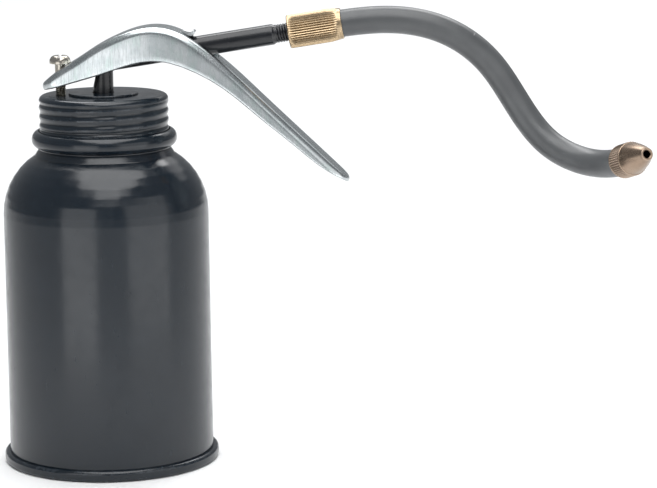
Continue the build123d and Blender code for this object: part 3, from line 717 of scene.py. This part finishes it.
def lever_outline(lever, stations):
    """Half of the lever's plan, developed: points of (s, y) from the tip's middle to the end's middle."""
    corners = [(0.0, 0.0)]
    blunt_left = lever.half_width(0.0)
    blunt_right = lever.half_width(lever.length)
    rows = 6
    corners += [(0.0, blunt_left * k / rows) for k in range(1, rows)]
    corners += [(s, lever.half_width(s)) for s in stations]
    corners += [(lever.length, blunt_right * (rows - k) / rows) for k in range(1, rows)]
    return corners + [(lever.length, 0.0)]


def lever_plan(lever):
    """The plan's points all the way round, the inward direction at each, and the count of a half."""
    left = [TIP_ROUND * (k / END_STEPS) ** 1.6 for k in range(END_STEPS)]
    right = [lever.length - END_ROUND * (k / END_STEPS) ** 1.6 for k in range(END_STEPS)][::-1]
    middle = list(np.linspace(TIP_ROUND, lever.length - END_ROUND, 90))
    plan = np.array(lever_outline(lever, left + middle + right))
    for _ in range(6):
        plan[1:-1] = (plan[:-2] + 2 * plan[1:-1] + plan[2:]) / 4
    whole = np.concatenate([plan, (plan[1:-1] * (1, -1))[::-1]])
    run = np.roll(whole, -1, axis=0) - np.roll(whole, 1, axis=0)
    run /= np.linalg.norm(run, axis=1)[:, None]
    inward = np.stack([run[:, 1], -run[:, 0]], axis=1)
    return whole, inward, len(plan)


def channel_section():
    """Steps round the channel's section, from the web's top over the rim to its underside."""
    arc = [math.radians(90) * k / 7 for k in range(8)]
    wall = [k / 6 for k in range(1, 6)]
    return ([("bend", a) for a in arc] + [("wall", share) for share in wall]
            + [("rim", math.radians(180) * k / 6) for k in range(7)]
            + [("inner_wall", 1 - share) for share in wall]
            + [("inner_bend", a) for a in arc[::-1]])


def on_section(kind, share, depth):
    """How far in from the plan's edge, and how far below the web, a step of the section lies."""
    bend = min(BEND_R, depth - 0.25)
    edge = LEVER_T / 2
    wall_end = max(depth - edge, bend)
    if kind == "bend":
        return bend * (1 - math.sin(share)), bend * (1 - math.cos(share))
    if kind == "wall":
        return 0.0, bend + (wall_end - bend) * share
    if kind == "rim":
        return edge * (1 - math.cos(share)), wall_end + (depth - wall_end) * math.sin(share)
    if kind == "inner_wall":
        return LEVER_T, bend + (wall_end - bend) * share
    inner = bend - LEVER_T
    return bend - inner * math.sin(share), bend - inner * math.cos(share)


def fill_web(lever, verts, faces, start, size, half_count):
    """Closes the loop of size points that begins at start with rows across the web."""
    rows = [[start]]
    for i in range(1, half_count - 1):
        near, far = start + i, start + size - i
        row = [near]
        for k in range(1, WEB_ACROSS):
            row.append(len(verts))
            verts.append(web_between(lever, verts[near], verts[far], k / WEB_ACROSS))
        rows.append(row + [far])
    rows.append([start + half_count - 1])
    for row, after in zip(rows, rows[1:]):
        if len(row) == 1:
            faces += [[row[0], after[k], after[k + 1]] for k in range(WEB_ACROSS)]
        elif len(after) == 1:
            faces += [[row[k], after[0], row[k + 1]] for k in range(WEB_ACROSS)]
        else:
            faces += [[row[k], after[k], after[k + 1], row[k + 1]] for k in range(WEB_ACROSS)]


def add_lever():
    """The pressed channel: its section drawn round its plan, its web filled in, and its slots cut."""
    lever = Lever()
    whole, inward, half_count = lever_plan(lever)
    loops = []
    for kind, share in channel_section():
        loop = []
        for (s, y), (in_s, in_y) in zip(whole, inward):
            inset, d = on_section(kind, share, lever.depth(min(max(s, 0), lever.length)))
            loop.append(lever.point(min(max(s + in_s * inset, 0), lever.length), y + in_y * inset, d))
        loops.append(loop)
    verts, faces = loft(loops, closed=False)
    size = len(whole)
    for start in (0, (len(loops) - 1) * size):
        fill_web(lever, verts, faces, start, size, half_count)
    obj = piece("lever_channel", (verts, faces), ZINC, "lever", ["lever"])
    cut(obj, [prism(rounded_slot(*TUBE_SLOT, TUBE_SLOT_W), *TUBE_CUT),
              prism(stadium(SCREW_X, *SCREW_SLOT), *SCREW_CUT)])
    finish_piece(obj, ZINC, 38)
    add_nib()


def add_nib():
    """The small tab turned up at the near end of the slot for the tube."""
    outline = rounded(NIB)[:-1]
    middle = (sum(x for x, _ in outline) / len(outline), sum(z for _, z in outline) / len(outline))
    loops = []
    for y, share in ((-NIB_HALF, NIB_NARROW), (-NIB_HALF + 0.2, 1), (NIB_HALF - 0.2, 1),
                     (NIB_HALF, NIB_NARROW)):
        loops.append([Vector((middle[0] + (x - middle[0]) * share, y, middle[1] + (z - middle[1]) * share))
                      for x, z in outline])
    verts, faces = loft(loops, closed=False)
    size = len(outline)
    faces += [list(range(size)), list(range(3 * size, 4 * size))]
    piece("lever_nib", (verts, faces), ZINC, "lever", ["lever"])


def rounded_slot(low, high, width):
    """Plan outline of a slot with small round corners."""
    half = width / 2
    corners = [((low + high) / 2, -half, 0), (high, -half, 1.5), (high, half, 1.5), (low, half, 1.5),
               (low, -half, 1.5), ((low + high) / 2, -half, 0)]
    return rounded(corners)[:-1]


def web_between(lever, near, far, share):
    """A point across the web between its two edges, raised by the crown."""
    point = near.lerp(far, share)
    edge_share = abs(near.y) / lever.half
    rise = CROWN * (edge_share**2 - (point.y / lever.half) ** 2)
    return point + Vector((0, 0, rise))


# ---- spout tube ----------------------------------------------------------------------------------
SPOUT_PITCH = math.atan2(ALONG.z, ALONG.x)
BEND_RADIUS = 4.6
NECKDOWN_S, THREAD_S, SPOUT_END_S = 65.2, 66.4, 78.0
BORE_R = 2.7
SQUEEZE_Z = 142.3               # where the tube's outer side starts to give way to the bend


def rod_line():
    """Stations on the tube's axis: place, direction, and how far its outer side and its width have
    given way to the bend there."""
    turn = math.pi / 2 - SPOUT_PITCH
    tangent = BEND_RADIUS * math.tan(turn / 2)
    stations = []
    foot, bend_foot = ROD_LOW, ELBOW.z - tangent
    for k in range(41):
        z = foot + (bend_foot - foot) * k / 40
        stations.append((Vector((0, 0, z)), Vector((0, 0, 1)), smoothstep(SQUEEZE_Z, bend_foot, z), 0.0))
    centre = Vector((BEND_RADIUS, 0, bend_foot))
    for k in range(1, 17):
        a = turn * k / 16
        place = centre + Vector((-math.cos(a), 0, math.sin(a))) * BEND_RADIUS
        stations.append((place, Vector((math.sin(a), 0, math.cos(a))), 1.0, smoothstep(0, 6, k)))
    for k in range(1, 61):
        s = tangent + (NECKDOWN_S - tangent) * k / 60
        flat = 1 - smoothstep(tangent, 18, s)
        stations.append((ELBOW + ALONG * s, ALONG, flat, flat))
    return stations


SQUEEZE, WIDEN = 0.30, 0.05     # how far the bend flattens and widens the tube, as a share
NECK_TO_R = 3.42                # the tube's radius after its neck, before the thread
TUBE_THREAD_R, TUBE_THREAD, TUBE_THREAD_PITCH = 3.15, 0.3, 1.0


def add_spout_tube():
    """The rod that bends over into the rigid spout, with the thread for the coupling nut."""
    across = Vector((0, 1, 0))
    outer, inner = [], []
    count = 48
    for place, direction, flat, wide in rod_line():
        up = direction.cross(across)
        for loop, size in ((outer, ROD_R), (inner, BORE_R)):
            loop.append([place + across * math.cos(a) * size * (1 + WIDEN * wide)
                         + up * math.sin(a) * size * (1 - SQUEEZE * flat * (math.sin(a) > 0))
                         for a in (2 * math.pi * k / count for k in range(count))])
    up = ALONG.cross(across)
    steps = 140
    for k in range(1, steps + 1):
        s = NECKDOWN_S + (SPOUT_END_S - NECKDOWN_S) * k / steps
        neck = smoothstep(NECKDOWN_S, THREAD_S, s)
        cut_in = smoothstep(THREAD_S - 0.2, THREAD_S + 0.8, s)
        ring = []
        for a in (2 * math.pi * k / count for k in range(count)):
            wave = 1 - abs(((s / TUBE_THREAD_PITCH - a / (2 * math.pi)) % 1.0) * 2 - 1)
            threaded = TUBE_THREAD_R + TUBE_THREAD * min(1.0, 1.6 * wave)
            radius = ROD_R + (NECK_TO_R - ROD_R) * neck
            radius += (threaded - radius) * cut_in
            ring.append(ELBOW + ALONG * s + across * math.cos(a) * radius + up * math.sin(a) * radius)
        outer.append(ring)
        inner.append([ELBOW + ALONG * s + across * math.cos(a) * BORE_R + up * math.sin(a) * BORE_R
                      for a in (2 * math.pi * k / count for k in range(count))])
    piece("rigid_spout", loft(outer + inner[::-1]), SPOUT_PAINT, "spout", ["spout_tube"])


# ---- return spring -----------------------------------------------------------------------------
SPRING_R, SPRING_WIRE_R = 5.3, 0.6
SPRING_COILS, SPRING_STEPS, SPRING_SIDES = 7, 40, 14
UP = Vector((0, 0, 1))


def add_spring():
    """The return spring, which shortens with the rod in the pump: a closed helix of wire, made here at one
    fixed length.
    """
    low, high = (corner.z for corner in span("return_spring"))
    rise = high - low - 2 * SPRING_WIRE_R
    steps = SPRING_COILS * SPRING_STEPS
    loops = []
    for step in range(steps + 1):
        turn = 2 * math.pi * step / SPRING_STEPS
        out = Vector((math.cos(turn), math.sin(turn), 0))
        centre = out * SPRING_R + UP * (low + SPRING_WIRE_R + rise * step / steps)
        loops.append([centre + (out * math.cos(a) + UP * math.sin(a)) * SPRING_WIRE_R
                      for a in (2 * math.pi * k / SPRING_SIDES for k in range(SPRING_SIDES))])
    verts, faces = loft(loops, closed=False)
    last = len(verts) - SPRING_SIDES
    faces += [list(range(SPRING_SIDES)), list(range(last, len(verts)))]
    spring = piece("spring", (verts, faces), SPRING_STEEL, "cap", ["return_spring"],
                   sharp=60)
    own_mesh(spring)


# ---- coupling nut, flexible spout, nozzle --------------------------------------------------------
# A number ending in _S is a distance along the rigid spout from its elbow
HOSE_R, HOSE_BORE_R = 5.15, 2.75
HOSE_HOLE_R = HOSE_R + 0.1      # hole for the flexible spout in the nut and in the nozzle
HOSE_START_S, HOSE_ARC_S = 80.45, 92.0
HOSE_IN_NOZZLE = 5.0
HOSE_STEPS, HOSE_SIDES = 720, 64
NUT_R, NUT_END_R, NUT_THREAD_R = 6.3, 5.75, 3.45
NUT_START_S, NUT_TAPER_S, NUT_END_S = 71.5, 86.9, 91.8
NUT_FLUTES, NUT_FLUTE = 40, 0.52


def knurl(count, depth, low, high, fade, least_r):
    """Relief of straight V-shaped flutes between two heights, on the surface outside least_r."""
    def relief(r, z, angle):
        if r < least_r:
            return r
        share = smoothstep(low, low + fade, z) * (1 - smoothstep(high - fade, high, z))
        wave = abs(((angle * count / (2 * math.pi)) % 1.0) * 2 - 1)
        return r - depth * share * (1 - wave) ** 1.3
    return relief


def add_nut():
    """The coupling nut: straight flutes that run out on its tapered far end."""
    step = SPOUT_END_S - 0.2
    outside = rounded([(NUT_THREAD_R, NUT_START_S, 0), (NUT_R - 0.1, NUT_START_S, 0.1),
                       (NUT_R, NUT_START_S + 0.1, 0.7), (NUT_R, NUT_TAPER_S, 4.0),
                       (NUT_END_R, NUT_END_S, 0.22), (HOSE_HOLE_R, NUT_END_S, 0)])
    outline = divided(outside, 0.7) + [(HOSE_HOLE_R, step), (NUT_THREAD_R, step)]
    relief = knurl(NUT_FLUTES, NUT_FLUTE, NUT_START_S + 0.1, NUT_TAPER_S + 3.4, 1.2, NUT_END_R - 0.15)
    piece("knurled_nut", turned(outline, NUT_FLUTES * 8, relief, SPOUT_FRAME), NUT_BRASS,
          "coupling_nut", ["coupling_nut"], sharp=60)


def hose_line():
    """Points that the flexible spout's centre line goes through."""
    return ([ELBOW + ALONG * HOSE_START_S, ELBOW + ALONG * HOSE_ARC_S] + BENDS
            + [NOZZLE_AT, NOZZLE_AT + NOZZLE_AXIS * HOSE_IN_NOZZLE])


def nearest_step(line, place):
    """Number of the point of the line that is nearest to a place."""
    return int(np.argmin(np.linalg.norm(line - np.array(place), axis=1)))


def add_hose():
    """The flexible spout in lengths, each from the middle of one link to the middle of the next."""
    knots = hose_line()
    line = spline([tuple(k) for k in knots], HOSE_STEPS)
    along = np.concatenate([[0], np.cumsum(np.linalg.norm(np.diff(line, axis=0), axis=1))])
    tangents = np.gradient(line, along, axis=0)
    tangents /= np.linalg.norm(tangents, axis=1)[:, None]
    side = Vector((0, 1, 0))
    frames = []
    for place, direction in zip(line, tangents):
        direction = Vector(direction)
        side = (side - direction * side.dot(direction)).normalized()
        frames.append((Vector(place), direction, side, direction.cross(side)))
    marks = [nearest_step(line, place) for place in [knots[1]] + BENDS + [NOZZLE_AT]]
    middles = [(a + b) // 2 for a, b in zip(marks, marks[1:])]
    cuts = [0] + middles + [HOSE_STEPS - 1]
    for number, (begin, end) in enumerate(zip(cuts, cuts[1:])):
        outer, inner = [], []
        for place, direction, side, up in frames[begin:end + 1:2] + [frames[end]]:
            for loop, radius in ((outer, HOSE_R), (inner, HOSE_BORE_R)):
                loop.append([place + side * math.cos(a) * radius + up * math.sin(a) * radius
                             for a in (2 * math.pi * k / HOSE_SIDES for k in range(HOSE_SIDES))])
        shape = loft(outer + inner[::-1])
        blend = None
        body = "hose_1" if number == 0 else "hose_7"
        if 0 < number < len(cuts) - 2:
            blend = (f"hose_{number}", f"hose_{number + 1}", frames[begin][0] * MM, frames[end][0] * MM)
        covers = f"hose_link_{min(number + 1, 7)}"
        piece(f"flexible_spout_{number + 1}", shape, HOSE_PVC, body, [covers], sharp=50,
              blend=blend)


# Nozzle, along its own axis from the collar's open end
COLLAR_R, COLLAR_L = 6.3, 7.6
COLLAR_FLUTES, COLLAR_FLUTE = 44, 0.42
CONE_R, CONE_CURVE = 5.9, 0.38      # the cone's start, and how much it bulges
TIP_R, NOZZLE_L = 2.3, 18.7
OUTLET_R, OUTLET_L = 1.4, 4.5
NOZZLE_BORE_R, NIPPLE_HOLE_R = 1.9, 3.05
HOSE_HOLE_L, NIPPLE_HOLE_L = 6.25, 9.2


def add_nozzle():
    """The nozzle: a knurled collar, a slightly bulging cone and a stepped bore."""
    cone = []
    cone_low, cone_high = COLLAR_L + 0.25, NOZZLE_L - 0.25
    for k in range(25):
        t = k / 24
        narrowed = (CONE_R - TIP_R) * ((1 - CONE_CURVE) * t + CONE_CURVE * t * t)
        cone.append((CONE_R - narrowed, cone_low + (cone_high - cone_low) * t))
    outline = divided(rounded([
        (HOSE_HOLE_R, 0, 0), (COLLAR_R - 0.1, 0, 0.1), (COLLAR_R, 0.1, 0.5), (COLLAR_R, COLLAR_L, 0.45),
        (CONE_R, COLLAR_L + 0.05, 0.12), cone[0] + (0,),
    ]), 0.5)
    outlet_z = NOZZLE_L - OUTLET_L
    outline += cone[1:-1] + rounded([
        cone[-2] + (0,), (TIP_R, NOZZLE_L, 0.25), (OUTLET_R + 0.3, NOZZLE_L, 0.1),
        (OUTLET_R, NOZZLE_L - 0.3, 0.1), (OUTLET_R, outlet_z, 0), (NOZZLE_BORE_R, outlet_z - 0.5, 0),
        (NOZZLE_BORE_R, NIPPLE_HOLE_L, 0), (NIPPLE_HOLE_R, NIPPLE_HOLE_L, 0),
        (NIPPLE_HOLE_R, HOSE_HOLE_L, 0), (HOSE_HOLE_R, HOSE_HOLE_L, 0),
    ])[1:]
    relief = knurl(COLLAR_FLUTES, COLLAR_FLUTE, 0.1, COLLAR_L + 0.1, 0.6, CONE_R + 0.07)
    piece("spout_nozzle", turned(outline, COLLAR_FLUTES * 6, relief, NOZZLE_FRAME), NOZZLE_BRASS, "nozzle",
          ["nozzle"], sharp=55)


# ---- stage: camera, floor and lights -------------------------------------------------------------
CAMERA_AT = (0.1396, -1.0484, 0.2739)
CAMERA_YAW, CAMERA_PITCH, CAMERA_ROLL = math.radians(3.0), math.radians(-10.30), math.radians(-0.65)
CAMERA_LENS = 153.62
FLOOR_HALF = 8.0
SKY_COLOUR, SKY_STRENGTH = (0.93, 0.96, 1.0, 1), 0.32
CAN_MIDDLE = (0, 0, 0.07)
# name: place, what it faces, width, height, brightness
LIGHTS = {
    "overhead": ((0.05, -0.175, 0.60), (0.05, -0.175, 0), 0.50, 0.47, 3.7),
    "background": ((0.1, 1.7, 2.3), (0.2, 1.4, 0), 2.8, 1.5, 5.0),
    "sweep": ((0.36, 0.60, 0.70), (0.1, 0.15, 0), 0.7, 0.6, 0.8),
    "front": ((0.16, -0.95, 1.0), (0.12, 0, 0.13), 0.6, 0.45, 2.8),
    "left": ((-0.095, -0.235, 0.09), CAN_MIDDLE, 0.17, 0.18, 1.3),
    "right": ((0.20, -0.155, 0.115), CAN_MIDDLE, 0.225, 0.22, 1.0),
}


def softbox(name, at, aim, width, height, radiance):
    """A rectangular light at a place, facing another, of a given brightness."""
    data = bpy.data.lights.new(name, "AREA")
    data.shape = "RECTANGLE"
    data.size, data.size_y = width, height
    data.energy = radiance * math.pi * width * height
    light = bpy.data.objects.new(name, data)
    bpy.context.scene.collection.objects.link(light)
    light.location = at
    light.rotation_euler = (Vector(aim) - Vector(at)).to_track_quat("-Z", "Y").to_euler()
    light.visible_camera = False


def add_camera():
    """Long lens, from in front and a little above, the can's far side turned 3 degrees away."""
    data = bpy.data.cameras.new("camera")
    data.lens = CAMERA_LENS
    data.sensor_width = 36
    data.clip_start, data.clip_end = 0.01, 100
    camera = bpy.data.objects.new("camera", data)
    bpy.context.scene.collection.objects.link(camera)
    turn = (Matrix.Rotation(CAMERA_YAW, 4, "Z") @ Matrix.Rotation(math.pi / 2 + CAMERA_PITCH, 4, "X")
            @ Matrix.Rotation(CAMERA_ROLL, 4, "Z"))
    camera.matrix_world = Matrix.Translation(CAMERA_AT) @ turn
    bpy.context.scene.camera = camera


def add_floor():
    """A plain pale floor."""
    paint = Paint("floor_paper", 0.75)
    clouds = paint.remap(paint.noise(300, 2), 0.3, 0.7)
    paint.colour(paint.mix(clouds, (0.86, 0.865, 0.87), (0.88, 0.88, 0.88)))
    half = FLOOR_HALF
    mesh = bpy.data.meshes.new("floor")
    mesh.from_pydata([(-half, -half, 0), (half, -half, 0), (half, half, 0), (-half, half, 0)], [],
                     [(0, 1, 2, 3)])
    mesh.materials.append(paint.material)
    floor = bpy.data.objects.new("floor", mesh)
    bpy.context.scene.collection.objects.link(floor)


def add_lights():
    """An even pale world and soft boxes: two make the can's upright streaks, one its shoulder's."""
    world = bpy.data.worlds.new("studio")
    world.use_nodes = True
    background = world.node_tree.nodes["Background"]
    background.inputs["Color"].default_value = SKY_COLOUR
    background.inputs["Strength"].default_value = SKY_STRENGTH
    bpy.context.scene.world = world
    for name, facts in LIGHTS.items():
        softbox(name, *facts)


# ---- everything ----------------------------------------------------------------------------------
add_can()
add_base()
add_cap()
add_flange()
add_screw()
add_lever()
add_spout_tube()
add_spring()
add_nut()
add_hose()
add_nozzle()
for node, material in NODE_MATERIALS.items():
    shown = frame["nodes"][node]
    if not shown.hide_render:
        shown.data.materials.clear()
        shown.data.materials.append(material)
add_camera()
add_floor()
add_lights()
bpy.context.scene.view_settings.view_transform = "Standard"
